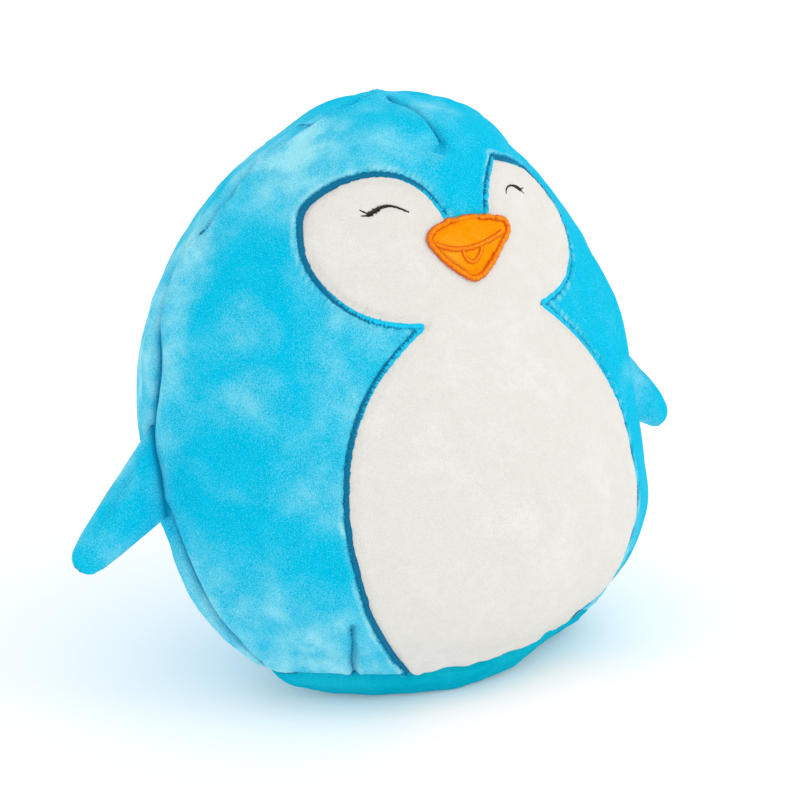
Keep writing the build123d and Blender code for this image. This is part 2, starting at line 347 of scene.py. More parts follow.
blue_pile = pile(
    "blue pile", rgb(0, 160, 198), rgb(0, 200, 238), rgb(160, 236, 250), 20, 0.08, painted_light_layers=True
)
base_fabric = pile("base fabric", rgb(0, 160, 190), rgb(4, 188, 216), rgb(40, 208, 230), 30, 0.05)
white_pile = pile("white pile", rgb(222, 217, 210), rgb(234, 231, 225), rgb(243, 241, 236), 40, 0.05)
beak_fabric = pile("beak fabric", rgb(255, 135, 0), rgb(255, 155, 5), rgb(255, 185, 60), 60, 0.05)
# For each thread, the second colour is a painted highlight and the first its darker colour
border_thread = thread("border thread", rgb(0, 120, 162), rgb(20, 208, 245))
beak_thread = thread("beak thread", rgb(238, 92, 0), rgb(255, 168, 12), bright_middle=True)
eye_thread = thread("eye thread", rgb(38, 32, 26), rgb(70, 62, 50))
blue_thread = thread("blue thread", rgb(0, 110, 155), rgb(0, 150, 195))
pile_hair = thread("pile hair", rgb(20, 200, 235), rgb(170, 240, 252))
fibre = pile("stuffing", rgb(225, 225, 225), rgb(240, 240, 240), rgb(250, 250, 250), 60, 0.1)

# -------- the skin of the body
PANEL_NODES = ("body_front_panel", "body_back_panel", "base_panel")
cad_body = surface_of(*[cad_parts[name] for name in PANEL_NODES])

# How far the left seam wanders behind its even line, as (height, shift) in millimetres
SEAM_WANDER = [(17, 0), (72, -4), (102, 1), (140, 2), (172, -3.5), (186, -1.5), (197, 3), (213, 5.5)]
SEAM_WANDER += [(229, 6.5), (238, 3), (247, 5), (257, 3), (268, 5), (280, 4), (300, 0)]
FAR_SEAM_SHARE = -0.4  # the right seam wanders less than the left one, and the other way
GATHER_REACH = 9 * MM  # the fabric is gathered this far on both sides of a seam
CREASE_LIMIT = 1.2 * MM
CLOTH_FRAMES = 16


def side_seam_curve():
    """The side seam as one polyline: left foot, crown, right foot."""
    heights = BASE_SEAM_Z + (0.2995 - BASE_SEAM_Z) * np.sin(np.linspace(0, math.pi / 2, 200))
    at, shift = smooth_curve(SEAM_WANDER).T * MM
    halves = []
    for side in (-1, 1):
        wander = np.interp(heights, at, shift * (1 if side < 0 else FAR_SEAM_SHARE))
        half = []
        for z, dy in zip(heights, wander):
            start = Vector((side, seam_y(z) + dy, z))
            half.append(cad_body.ray_cast(start, Vector((-side, 0, 0)))[0])
        half = [p for p in half if p is not None]  # a ray can slip between two panels
        halves.append(half)
    crown = Vector((0, seam_y(HEIGHT), HEIGHT))
    return halves[0] + [crown] + halves[1][::-1]


def base_seam_curve(side):
    """Half of the base seam, from the left foot to the right foot, side -1 in front and +1 behind."""
    centre = Vector((0, seam_y(BASE_SEAM_Z), BASE_SEAM_Z + 0.5 * MM))
    curve = []
    for turn in np.linspace(math.pi, 0, 150):
        p = from_outside(cad_body, centre, (math.cos(turn), side * math.sin(turn), 0))
        curve.append((p.x, p.y, BASE_SEAM_Z))
    return curve


def coons(bottom, top, left, right):
    """A grid of points between four edges, each a list of points; rows run from bottom to top."""
    u = np.linspace(0, 1, len(bottom))[None, :, None]
    v = np.linspace(0, 1, len(left))[:, None, None]
    between_rows = (1 - v) * bottom[None] + v * top[None]
    between_columns = (1 - u) * left[:, None] + u * right[:, None]
    corners = (1 - u) * (1 - v) * bottom[0] + u * (1 - v) * bottom[-1]
    corners = corners + (1 - u) * v * top[0] + u * v * top[-1]
    return between_rows + between_columns - corners


def settle(grid, centre, rounds):
    """Evens out a grid over the body's shape and keeps its edges where they are."""
    for _ in range(rounds):
        for _ in range(8):
            neighbours = grid[:-2, 1:-1] + grid[2:, 1:-1] + grid[1:-1, :-2] + grid[1:-1, 2:]
            grid[1:-1, 1:-1] = neighbours / 4
        for row in grid[1:-1]:
            for k in range(1, len(row) - 1):
                row[k] = from_outside(cad_body, centre, Vector(row[k]) - centre)
    return grid


def body_grids():
    side = resample(side_seam_curve(), 3 * GRID)
    front_arc = resample(base_seam_curve(-1), GRID)
    back_arc = resample(base_seam_curve(1), GRID)
    front_arc[0] = back_arc[0] = side[0]
    front_arc[-1] = back_arc[-1] = side[-1]
    left, top, right = side[: GRID + 1], side[GRID : 2 * GRID + 1], side[2 * GRID :][::-1]
    behind = BODY_CENTRE + Vector((0, 0.05, 0))
    before = BODY_CENTRE - Vector((0, 0.03, 0))
    front = settle(coons(front_arc, top, left, right), behind, 12)
    back = settle(coons(back_arc, top, left, right), before, 12)
    half = GRID // 2
    base = coons(front_arc[: half + 1], back_arc[half:], back_arc[: half + 1], front_arc[half:])
    base = settle(base, Vector((0, 0.02, 0.06)), 6)
    return front, back, base


def sew(front, back, base):
    """Joins the three grids into one closed mesh: its points, its quads and each quad's panel."""
    half = GRID // 2
    back_inner, base_inner = back[:-1, 1:-1], base[1:-1, 1:-1]
    front_id = numbers(front)
    back_id = front_id.copy()
    back_id[:-1, 1:-1] = numbers(back_inner, front_id.size)
    base_id = np.zeros((half + 1, half + 1), int)
    base_id[0] = front_id[0, : half + 1]
    base_id[:, -1] = front_id[0, half:]
    base_id[-1] = back_id[0, half:]
    base_id[:, 0] = back_id[0, : half + 1]
    base_id[1:-1, 1:-1] = numbers(base_inner, back_id.max() + 1)
    points = np.concatenate([grid.reshape(-1, 3) for grid in (front, back_inner, base_inner)])
    quads = [quads_between(front_id), quads_between(back_id, True), quads_between(base_id, True)]
    panels = [number for number in range(3) for _ in quads[number]]
    return points, np.concatenate(quads), panels


def inflate(skin):
    """Pumps the sewn skin up as cloth whose seams are gathered, and keeps the creases of that."""
    mesh = skin.data
    before = coordinates(mesh)
    side = resample(side_seam_curve(), 3 * GRID)
    foot = np.concatenate([base_seam_curve(-1), base_seam_curve(1)])
    gap = np.minimum(nearest(before, side)[0], nearest(before, foot)[0])
    seams = skin.vertex_groups.new(name="seams")
    for k in np.flatnonzero(gap < GATHER_REACH):
        seams.add([int(k)], 1 - gap[k] / GATHER_REACH, "REPLACE")
    cloth = skin.modifiers.new("cloth", "CLOTH")
    settings = cloth.settings
    settings.quality = 5
    settings.mass = 0.15
    settings.tension_stiffness = 12
    settings.compression_stiffness = 12
    settings.shear_stiffness = 5
    settings.bending_stiffness = 0.3
    settings.use_pressure = True
    settings.uniform_pressure_force = 4.5
    settings.vertex_group_shrink = seams.name
    settings.shrink_min = 0.0
    settings.shrink_max = 0.15
    settings.effector_weights.gravity = 0
    cloth.collision_settings.use_collision = False
    cloth.point_cache.frame_start = 1
    cloth.point_cache.frame_end = CLOTH_FRAMES
    for step in range(1, CLOTH_FRAMES + 1):
        bpy.context.scene.frame_set(step)
    apply_modifiers(skin)
    bpy.context.scene.frame_set(1)
    keep_creases(skin, before)


def keep_creases(skin, before):
    """Of what the cloth did, keeps the small creases and drops the overall swelling."""
    mesh = skin.data
    moved = coordinates(mesh) - before
    edges = edges_of(mesh)
    swelling = moved.copy()
    for _ in range(150):
        swelling = 0.5 * swelling + 0.5 * neighbour_mean(edges, swelling)
    crease = moved - swelling
    size = np.linalg.norm(crease, axis=1)[:, None] + 1e-9
    move_to(mesh, before + crease * np.minimum(1, CREASE_LIMIT / size))


grid_points, grid_faces, grid_panels = sew(*body_grids())
skin = new_mesh("skin", grid_points, grid_faces)
skin.data.polygons.foreach_set("material_index", grid_panels)
inflate(skin)
finer = skin.modifiers.new("finer", "SUBSURF")
finer.levels = finer.render_levels = 1
apply_modifiers(skin)

# -------- seams, darts and folds
def mirrored(points):
    return [(-x, z) for x, z in points]


def on_front(surface, points, count):
    """Even steps along a line given as (x, z) in millimetres and laid on the front of a surface."""
    away = Vector((0, 1, 0))
    hits = [surface.ray_cast(Vector((x * MM, -1, z * MM)), away)[0] for x, z in points]
    return resample([h for h in hits if h is not None], count)


# All five run clockwise seen from the front, so that the outer side is always the same
FACE_LINES = [
    smooth_curve(RIGHT_BROW),
    smooth_curve(RIGHT_LOBE),
    smooth_curve(RIGHT_BELLY),
    mirrored(smooth_curve(LEFT_BELLY))[::-1],
    mirrored(smooth_curve(LEFT_LOBE))[::-1],
]
TOP_DART = [(0, 298.5), (0, 294.5), (0.5, 288), (1, 281.5)]
RIGHT_DART = [(77.5, 17.5), (85.5, 35), (91, 53)]
DARTS = [TOP_DART, RIGHT_DART, mirrored(RIGHT_DART)]
# Folds of the fabric: a line on the front, how far it stands out and its half width, in millimetres
FOLDS = [
    ([(-117, 227), (-113, 234), (-108, 237), (-100, 241.5)], 2.6, 3.6),
    ([(-98, 248), (-95, 253), (-92, 257), (-87, 262), (-82, 266)], 1.6, 3.2),
    ([(-12, 281), (-9.5, 277), (-5, 275.5), (1, 277)], 2.6, 2.6),
    ([(-7, 282), (-3, 280), (2, 280.5)], -4.2, 2.8),
]
# Where the stuffing fills the skin more or less: a place, the rise and its reach, in millimetres
BULGES = [
    ((-135, 78, 185), 3.4, 62),
    ((113, 5, 168), 6.0, 46),
    ((106, -30, 70), 3.0, 34),
    ((-45, 78, 290), -5.5, 30),
    ((45, -34, 8), -6.0, 30),
]
# Where the pile is painted light (+) or dark (-): nap lying light or dark, painted sheen down the left side
# and over the crown, and painted shade in the dimple beside the crown's fold with painted highlights on its
# ridges: a place, how much and its reach, in millimetres
NAP_AND_PAINTED_LIGHT_PATCHES = [
    ((-108, 70, 234), 0.7, 26),
    ((-119, 8, 167), 0.6, 17),
    ((-110, -10, 146), 0.6, 15),
    ((-136, 14, 66), 0.6, 30),
    ((-98, -29, 42), 0.5, 24),
    ((-64, 40, 276), 0.6, 28),
    ((-137, 80, 170), 0.9, 48),
    ((-82, 30, 248), 0.4, 22),
    ((-125, 30, 194), -0.5, 20),
    ((-54, -30, 180), -1.0, 26),
    ((-88, -24, 141), -1.0, 22),
    ((-94, 0, 200), -0.3, 18),
    ((-4, -10, 262), -0.6, 20),
    ((-17, 19, 292), -0.4, 14),
    ((-9, 9, 281), -1.2, 5),
    ((-12, 6, 277), 0.8, 5),
    ((-6, 2, 275), 0.8, 4),
    ((-30, 14, 284), 0.5, 16),
    ((18, 30, 291), 0.5, 16),
    ((-139, 20, 118), -0.3, 20),
    ((-108, -26, 98), -0.4, 20),
    ((110, -10, 165), -0.6, 45),
]
# Lumps of the stuffing: their height in millimetres, how many there are to a metre and a seed
LUMPS = [(1.5, 17, 3), (0.6, 42, 5), (0.1, 320, 7)]
SEAM_DEPTH, BASE_SEAM_DEPTH, SEAM_WIDTH = 3.8 * MM, 2.0 * MM, 2.4 * MM
DART_DEPTH, DART_WIDTH = 2.6 * MM, 1.7 * MM
PUCKER, PUCKER_REACH = 1.5 * MM, 13 * MM
SEAM_SWELLING, DART_SWELLING = 2.0 * MM, 1.3 * MM  # how far the fabric rises beside each
FACE_PULL, FACE_SWELLING = 1.3 * MM, 0.9 * MM  # how far the face's stitching pulls the fabric in
# The upper corners of the front and back grids, where their quads lie flat along the side seam
PANEL_CORNERS = np.array([(-103, 62, 241), (103, 60, 241)]) * MM


def seam_chains(mesh):
    """The points where the front meets the back and where the base meets both, each in order.

    The side seam's order starts and ends at the crown and steps across from foot to foot.
    """
    co, quads, panels = coordinates(mesh), quads_of(mesh), panels_of(mesh)
    of_panel = [set(quads[panels == number].ravel()) for number in range(3)]
    side = np.array(sorted(of_panel[0] & of_panel[1]))
    base = np.array(sorted(of_panel[2] & (of_panel[0] | of_panel[1])))
    around_side = np.arctan2(co[side, 0], -(co[side, 2] - 0.12))
    around_base = np.arctan2(co[base, 0], co[base, 1] - 0.01)
    return side[np.argsort(around_side)], base[np.argsort(around_base)]


def seam_lines(mesh):
    """The places of the side seam's points and of the base seam's, which is closed."""
    co = coordinates(mesh)
    side, base = seam_chains(mesh)
    return co[side], co[np.append(base, base[0])]


def relax(mesh, places, reach, rounds):
    """Evens out the points of a mesh around a few places."""
    co, edges = coordinates(mesh), edges_of(mesh)
    share = fade(nearest(co, places)[0], reach)[:, None]
    for _ in range(rounds):
        co += share * (neighbour_mean(edges, co) - co)
    move_to(mesh, co)


def sculpt(skin):
    """Moves the skin along its normals: stuffing lumps, seams, puckers, darts and folds."""
    mesh = skin.data
    co, out = coordinates(mesh), normals(mesh)
    surface = surface_of(skin)
    side_gap = nearest(co, resample(seam_lines(mesh)[0], 1500))[0]
    rise = sum(height * MM * lumps(co, scale, seed) for height, scale, seed in LUMPS)
    for place, height, reach in BULGES:
        rise += height * MM * around(co, place, reach)
    swelling, groove = np.zeros(len(co)), np.zeros(len(co))
    for seed, (line, depth) in enumerate(zip(seam_lines(mesh), (SEAM_DEPTH, BASE_SEAM_DEPTH))):
        line = resample(line, 1500)
        gap, at = nearest(co, line)
        run = steps_along(line)[at]
        side = np.where(out[:, 1] < 0, 1.3, 4.7)
        pucker = [noise.noise(Vector((r * 70, s + seed, g * 18))) for r, s, g in zip(run, side, gap)]
        rise += PUCKER * np.array(pucker) * np.exp(-gap / PUCKER_REACH) * (1 - fade(gap, SEAM_WIDTH))
        swelling = np.maximum(swelling, SEAM_SWELLING * fade(gap - 7 * MM, 5 * MM))
        groove = np.maximum(groove, depth * fade(gap, SEAM_WIDTH))
    rise += swelling - groove
    for line in DARTS:
        gap = nearest(co, on_front(surface, line, 80))[0]
        rise += DART_SWELLING * fade(gap, 7 * MM)
        rise -= (DART_DEPTH + DART_SWELLING) * fade(gap, DART_WIDTH)
    for line, height, width in FOLDS:
        gap, at = nearest(co, on_front(surface, smooth_curve(line, 60), 60))
        ends = np.sin(math.pi * (at + 6) / 72) ** 0.7  # a fold runs out at both of its ends
        rise += height * MM * fade(gap, width * MM) * ends * (1 - fade(side_gap, 3.5 * MM))
    gap = nearest(co, np.concatenate([on_front(surface, line, 300) for line in FACE_LINES]))[0]
    rise += FACE_SWELLING * fade(gap - 4.2 * MM, 1.8 * MM) - FACE_PULL * fade(gap, 2.4 * MM)
    co += out * rise[:, None]
    co[:, 2] = np.maximum(co[:, 2], 0)
    move_to(mesh, co)


def nap_and_sheen_marks(skin):
    """Where the pile is painted light: nap lying light and painted sheen beside seams, darts and stitching,
    over the crown and below, with painted shade at the dark patches.
    """
    co = coordinates(skin.data)
    side, base = seam_lines(skin.data)
    # Nap lying light, shown as painted sheen, beside the side seam and near the base seam
    marks = 0.6 * np.exp(-nearest(co, side)[0] / (16 * MM))
    marks += 0.9 * np.exp(-nearest(co, base)[0] / (26 * MM))
    # Painted light over the upper left of the crown
    marks += 0.5 * fade(co[:, 0] + 60 * MM, 60 * MM) * np.clip((co[:, 2] - 0.235) / 0.03, 0, 1)
    for line in DARTS[1:]:
        marks += 0.4 * fade(nearest(co, on_front(skin_surface, line, 40))[0], 14 * MM)
    marks += 0.4 * lumps(co, 26, 12) - 0.25
    for place, amount, reach in NAP_AND_PAINTED_LIGHT_PATCHES:
        marks += amount * around(co, place, reach)
    # A painted highlight just outside the face's stitching, where the fabric swells
    for line in FACE_LINES:
        gap = nearest(co, on_front(skin_surface, line, 300))[0]
        marks += fade(gap - 3.4 * MM, 1.2 * MM) * (1.0 + 0.8 * lumps(co, 60, 15))
    return np.clip(marks, 0, 1.3)


def crease_shade_mask(skin):
    """How deep each point sits in a seam or dart, from 0 to 1; the blue pile paints shade there."""
    co = coordinates(skin.data)
    side, base = seam_lines(skin.data)
    lines = [side, base] + [on_front(skin_surface, line, 80) for line in DARTS]
    return sum(fade(nearest(co, line)[0], 1.7 * MM) for line in lines).clip(0, 1)


relax(skin.data, PANEL_CORNERS, 10 * MM, 25)
sculpt(skin)
skin_surface = surface_of(skin)
# Painted light for the blue pile: nap with painted sheen, and painted shade in seams and darts
brushed, crevice = nap_and_sheen_marks(skin), crease_shade_mask(skin)


# -------- the panels
def cut_out(name, wanted, material, lift=None):
    """A piece made of some of the skin's quads, each of its points lifted along the skin's normal."""
    mesh = skin.data
    co, out = coordinates(mesh), normals(mesh)
    used, local = np.unique(quads_of(mesh)[wanted], return_inverse=True)
    points = co[used]
    if lift is not None:
        points = points + out[used] * lift(points)[:, None]
    piece = new_mesh(name, points, local.reshape(-1, 4), material)
    # Layers that the blue pile reads: nap with painted sheen, and painted shade in seams and darts
    add_layer(piece, "brushed", brushed[used])
    add_layer(piece, "crevice", crevice[used])
    return piece


def add_layer(piece, label, values):
    """Gives each point of a piece a number that its material reads."""
    layer = piece.data.attributes.new(label, "FLOAT", "POINT")
    layer.data.foreach_set("value", np.asarray(values, np.float32).ravel())


def quad_centres(mesh):
    centres = np.empty(3 * len(mesh.polygons))
    mesh.polygons.foreach_get("center", centres)
    return centres.reshape(-1, 3)


def inside(polygon, x, z):
    """Which of the points (x, z) lie inside a closed polygon."""
    within = np.zeros(len(x), bool)
    for (x0, z0), (x1, z1) in zip(polygon, np.roll(polygon, -1, axis=0)):
        if z0 == z1:
            continue
        crosses = (z0 > z) != (z1 > z)
        within ^= crosses & (x < (x1 - x0) * (z - z0) / (z1 - z0) + x0)
    return within


panels = panels_of(skin.data)
covers = []
for number, (name, material) in enumerate(
    (("body_front", blue_pile), ("body_back", blue_pile), ("base", base_fabric))
):
    piece = cut_out(name, panels == number, material)
    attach(piece, "body")
    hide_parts(PANEL_NODES[number])
    covers.append(piece)

face_outline = np.concatenate(FACE_LINES)
face_edges = np.concatenate([on_front(skin_surface, line, 900) for line in FACE_LINES])


def face_lift(points):
    """The white fabric rises from under its stitched edge to its full thickness."""
    gap = nearest(points, face_edges)[0]
    return 0.35 * MM + 0.85 * MM * (1 - fade(gap, 3.2 * MM)) + 0.05 * MM * lumps(points, 260, 4)


def trim_to(piece, edge):
    """Moves the steps along a piece's rim onto the smooth line that it is cut along."""
    mesh = piece.data
    quads = quads_of(mesh)
    sides = np.sort(np.concatenate([quads[:, [k, (k + 1) % 4]] for k in range(4)]), axis=1)
    pairs, count = np.unique(sides, axis=0, return_counts=True)
    rim = np.unique(pairs[count == 1])
    co = coordinates(mesh)
    gap, at = nearest(co[rim], edge)
    near = gap < 2.5 * MM
    co[rim[near]] = edge[at[near]]
    move_to(mesh, co)


centres = quad_centres(skin.data)
on_face = (panels == 0) & inside(face_outline * MM, centres[:, 0], centres[:, 2])
face_belly = cut_out("face_belly", on_face, white_pile, face_lift)
trim_to(face_belly, face_edges)
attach(face_belly, "body")
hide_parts("face_belly_applique")
face_surface = surface_of(face_belly)
front_surface = surface_of(face_belly, covers[0])

# -------- threads
TUBE_SIDES = 5
TUBE_STEPS = 5
SEAM_THREAD_RADIUS = 0.22 * MM


def tubes(name, starts, ends, up, bow, radius, material, seed, outward=None, shine=0.5):
    """One thread for each pair of ends, bowed up off the fabric, with its layers "tone" and "outer".

    outward tells which threads run from the inner to the outer side of their line, and shine how
    much painted highlight each thread takes.
    """
    count = len(starts)
    t = np.linspace(0, 1, TUBE_STEPS)
    along = ends - starts
    along /= np.linalg.norm(along, axis=1)[:, None]
    side = np.cross(along, up)
    side /= np.linalg.norm(side, axis=1)[:, None]
    arch = np.outer(bow, np.sin(math.pi * t) ** 0.7)
    middle = starts[:, None] + (ends - starts)[:, None] * t[None, :, None] + up[:, None] * arch[:, :, None]
    turn = np.linspace(0, 2 * math.pi, TUBE_SIDES, endpoint=False)
    ring = side[:, None] * np.cos(turn)[None, :, None] + up[:, None] * np.sin(turn)[None, :, None]
    points = middle[:, :, None] + radius * ring[:, None]
    here = np.arange(count * TUBE_STEPS * TUBE_SIDES).reshape(count, TUBE_STEPS, TUBE_SIDES)
    beside = np.roll(here, -1, axis=2)
    faces = np.stack([here[:, :-1], beside[:, :-1], beside[:, 1:], here[:, 1:]], axis=-1)
    piece = new_mesh(name, points.reshape(-1, 3), faces.reshape(-1, 4), material)
    # Each thread's brightness: its painted highlight from shine, varied at random
    tone = shine * (0.65 + 0.7 * np.random.default_rng(seed).random(count))
    outward = np.ones(count, bool) if outward is None else outward
    outer = np.where(outward[:, None], t[None], 1 - t[None])
    add_layer(piece, "tone", np.broadcast_to(tone[:, None, None], here.shape))
    add_layer(piece, "outer", np.broadcast_to(outer[:, :, None], here.shape))
    return piece


def laid(surface, points, step):
    """A front-view line laid on a surface in even steps, with the surface's smoothed normals there."""
    line = on_front(surface, points, 400)
    line = resample(line, max(8, int(steps_along(line)[-1] / step)))
    up = np.array([surface.find_nearest(Vector(p))[1] for p in line])
    for _ in range(12):
        up[1:-1] = (up[:-2] + up[1:-1] + up[2:]) / 3
    return line, up / np.linalg.norm(up, axis=1)[:, None]


def satin(name, line, up, width, height, material, seed, radius=0.32 * MM, rough=0.09, shine=0.5):
    """Satin stitches that run to and fro across a line; width and shine are for all or for each step."""
    rng = np.random.default_rng(seed)
    along = np.gradient(line, axis=0)
    side = np.cross(up, along)
    side /= np.linalg.norm(side, axis=1)[:, None]
    reach = 0.5 * width * (1 + rough * rng.standard_normal(len(line)))
    way = np.where(np.arange(len(line)) % 2, -1, 1)
    edge = line + side * (reach * way)[:, None]
    bow = height * np.minimum(1, reach / (0.8 * MM)) * (1 + 0.08 * rng.standard_normal(len(line)))
    shine = np.broadcast_to(shine, len(line))[:-1]
    return tubes(name, edge[:-1], edge[1:], up[:-1], bow[:-1], radius, material, seed, way[:-1] < 0, shine)


def running(name, line, up, stitch, gap, material, seed):
    """A row of plain stitches along a line."""
    run = steps_along(line)
    starts = np.arange(0, run[-1] - stitch, stitch + gap)
    begin, end = read_at(starts, run, line), read_at(starts + stitch, run, line)
    bow = np.full(len(starts), 0.35 * MM)
    return tubes(name, begin, end, read_at(starts, run, up), bow, SEAM_THREAD_RADIUS, material, seed)


def join(name, parts):
    """One piece made of several, all in the row frame."""
    points, faces, layers = [], [], {"tone": [], "outer": []}
    for part in parts:
        first = sum(len(p) for p in points)
        points.append(coordinates(part.data))
        faces.append(quads_of(part.data) + first)
        for label, store in layers.items():
            values = np.empty(len(part.data.vertices), np.float32)
            part.data.attributes[label].data.foreach_get("value", values)
            store.append(values)
    piece = new_mesh(name, np.concatenate(points), np.concatenate(faces), parts[0].data.materials[0])
    for label, store in layers.items():
        add_layer(piece, label, np.concatenate(store))
    for part in parts:
        bpy.data.objects.remove(part)
    return piece


def finish_thread(piece, node):
    """Lets a thread ride on the body and take the place of its CAD node."""
    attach(piece, "body")
    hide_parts(node)


# -------- stitching of the face
BORDER_WIDTH, BORDER_HEIGHT = 3.8 * MM, 0.75 * MM
# How much painted highlight the border's thread takes at even steps along each of FACE_LINES, where its
# satin catches the light
BORDER_SHINE = [(0.8, 0.6), (0.3, 0.5, 0.8, 1.0), (1.0, 0.6, 0.5, 0.3), (0.1, 0.05, 0.3, 0.9)]
BORDER_SHINE += [(1.0, 0.8, 0.35, 0.05, 0.05, 0.1, 0.4, 0.8)]
border = []
for number, (points, shine) in enumerate(zip(FACE_LINES, BORDER_SHINE)):
    line, up = laid(skin_surface, points, STITCH_STEP / 2)
    line += up * 0.35 * MM
    # The border's painted highlight, spread along its line
    shine = np.interp(np.linspace(0, len(shine) - 1, len(line)), range(len(shine)), shine)
    stitches = satin(
        "border", line, up, BORDER_WIDTH, BORDER_HEIGHT, border_thread, seed=number, shine=shine
    )
    border.append(stitches)
finish_thread(join("face_border", border), "applique_border_stitching")


def fringe(name, line, up, offset, material, seed):
    """Single hairs of the pile that stand along the outer side of a line and lean over it."""
    rng = np.random.default_rng(seed)
    along = np.gradient(line, axis=0)
    along /= np.linalg.norm(along, axis=1)[:, None]
    side = np.cross(up, along)
    out, length, lean, slant = rng.random((4, len(line), 1))
    starts = line + side * (offset + 1.6 * MM * out) - up * 0.4 * MM
    rise = up * (0.9 + 0.8 * length) * MM
    ends = starts + rise - side * (0.3 + 1.1 * lean) * MM + along * (slant - 0.5) * 1.2 * MM
    return tubes(name, starts, ends, along, np.zeros(len(line)), 0.13 * MM, material, seed)


hairs = []
for number, points in enumerate(FACE_LINES):
    line, up = laid(skin_surface, points, 0.3 * MM)
    hairs.append(fringe("hairs", line, up, 0.5 * BORDER_WIDTH + 0.2 * MM, pile_hair, seed=70 + number))
hairs = join("body_front_pile", hairs)
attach(hairs, "body")

# A closed eye, from its inner end to its outer end, then the ends of the two lashes
EYE = [(32.5, 253.6), (36.9, 255.9), (41, 257.1), (44.5, 256.6), (48, 255.2), (52, 253.2)]
LASHES = [[(51.5, 253.6), (54.5, 255.6)], [(51.5, 253), (55, 253)]]
RIGHT_EYE = [(29.5, 255.2), (31.5, 257.3), (35.5, 257.9), (39.5, 256.6), (43, 254.4)]
RIGHT_LASHES = [[(42.5, 254.9), (46, 255)], [(42.5, 254.4), (44.8, 252.4)]]
for side, eye, lashes, weight in (
    ("left", mirrored(EYE), [mirrored(lash) for lash in LASHES], 1.0),
    ("right", RIGHT_EYE, RIGHT_LASHES, 0.7),
):
    line, up = laid(face_surface, smooth_curve(eye), 0.15 * MM)
    swell = np.linspace(0, 1, len(line))
    width = weight * (0.7 + 1.4 * swell + 0.9 * fade(swell - 0.85, 0.2)) * MM
    width *= np.minimum(1, (1 - swell) / 0.04 + 0.4)
    parts = [satin("eye", line, up, width, 0.5 * MM, eye_thread, seed=21, radius=0.17 * MM, rough=0.28)]
    for number, lash in enumerate(lashes):
        line, up = laid(face_surface, smooth_curve(lash), 0.15 * MM)
        width = weight * np.linspace(1.1, 0.5, len(line)) * MM
        parts.append(satin("lash", line, up, width, 0.35 * MM, eye_thread, number, 0.15 * MM, 0.25))
    finish_thread(join(side + "_eye", parts), side + "_eye_embroidery")

# -------- beak
# Its outer edge in millimetres, from the left corner over the top to the right corner and the chin
BEAK = [(-27.8, 240.2), (-25, 244), (-18.9, 247.1), (-6.6, 248.9), (6.4, 248.5), (17, 246.4), (23.6, 243.6)]
BEAK += [(24.4, 240), (17, 232), (11.9, 227.3), (5.4, 222), (-0.1, 218.6), (-4.2, 217.4), (-8.6, 218.3)]
BEAK += [(-13.7, 221.8), (-18.6, 225.8), (-23.1, 230.6), (-26.7, 235.8), (-27.8, 240.2)]
LIP = [(-23.5, 237.9), (-18.5, 235.6), (-10.5, 234.3), (-3, 234.4), (2.5, 235.2), (9.7, 236.8), (17.5, 239)]
TONGUE = [(-9.9, 233), (-8.8, 229.4), (-6, 227.4), (-3.3, 227.9), (-0.5, 230.2), (1.9, 233.8)]
CREASE = [(-22, 233.6), (-16.8, 228.7), (-10.3, 223.6), (-5, 221.8), (0.6, 223.4), (9, 229.3)]
BEAK_BORDER = 3.5 * MM
BEAK_CENTRE = (-2.5, 236)
BEAK_RINGS = 34


def closed_curve(points, count):
    """A smooth closed line of even steps through points, whose first and last are the same."""
    laps = smooth_curve(points[:-1] * 3 + points[:1], 3 * count)
    lap = laps[count : 2 * count + 1]
    lap[-1] = lap[0]
    return lap


beak_edge = closed_curve(BEAK, 400)


def inset(points, distance):
    """A closed line moved inwards by a distance in millimetres; it runs clockwise seen from the front."""
    ahead = np.roll(points[:-1], -1, axis=0) - np.roll(points[:-1], 1, axis=0)
    ahead /= np.linalg.norm(ahead, axis=1)[:, None]
    moved = points[:-1] + distance * np.stack([ahead[:, 1], -ahead[:, 0]], axis=1)
    return np.vstack([moved, moved[:1]])


def beak_field():
    """The orange fabric: rings round the middle of the beak, puffed up off the white fabric."""
    edge = inset(beak_edge, 1.2)[:-1]
    away, outwards = Vector((0, 1, 0)), Vector((0, -0.9, 0.3)).normalized()
    crease = smooth_curve(CREASE, 60)
    points = []
    for ring in range(BEAK_RINGS + 1):
        share = 1 - ring / BEAK_RINGS
        for x, z in np.array(BEAK_CENTRE) + share * (edge - BEAK_CENTRE):
            p = front_surface.ray_cast(Vector((x * MM, -1, z * MM)), away)[0]
            low = np.exp(-np.min(np.linalg.norm(crease - (x, z), axis=1)) ** 2 / 0.5)
            puff = 0.3 + 1.5 * (1 - share**6) - 0.7 * low
            points.append(p + outwards * puff * MM)
    rings = np.arange(len(points)).reshape(BEAK_RINGS + 1, len(edge))
    return points, quads_between(np.hstack([rings, rings[:, :1]]), flip=True)


beak = new_mesh("beak", *beak_field(), beak_fabric)
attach(beak, "body")
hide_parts("beak_panel")
beak_surface = surface_of(beak)

line, up = laid(front_surface, inset(beak_edge, 1.5), STITCH_STEP / 2)
line += up * 0.8 * MM
border = satin("beak_border", line, up, BEAK_BORDER, 1.2 * MM, beak_thread, seed=31)
finish_thread(border, "beak_border_stitching")
mouth = []
for number, (points, width) in enumerate(((LIP, 2.8), (TONGUE, 2.3))):
    line, up = laid(beak_surface, smooth_curve(points), STITCH_STEP / 2)
    mouth.append(satin("mouth", line, up, width * MM, 0.5 * MM, beak_thread, seed=40 + number))
finish_thread(join("beak_mouth", mouth), "beak_mouth_stitching")

# -------- flippers
ROOT_LOW_Z, ROOT_HIGH_Z = 103 * MM, 149 * MM
ROOT_X = 150.8 * MM
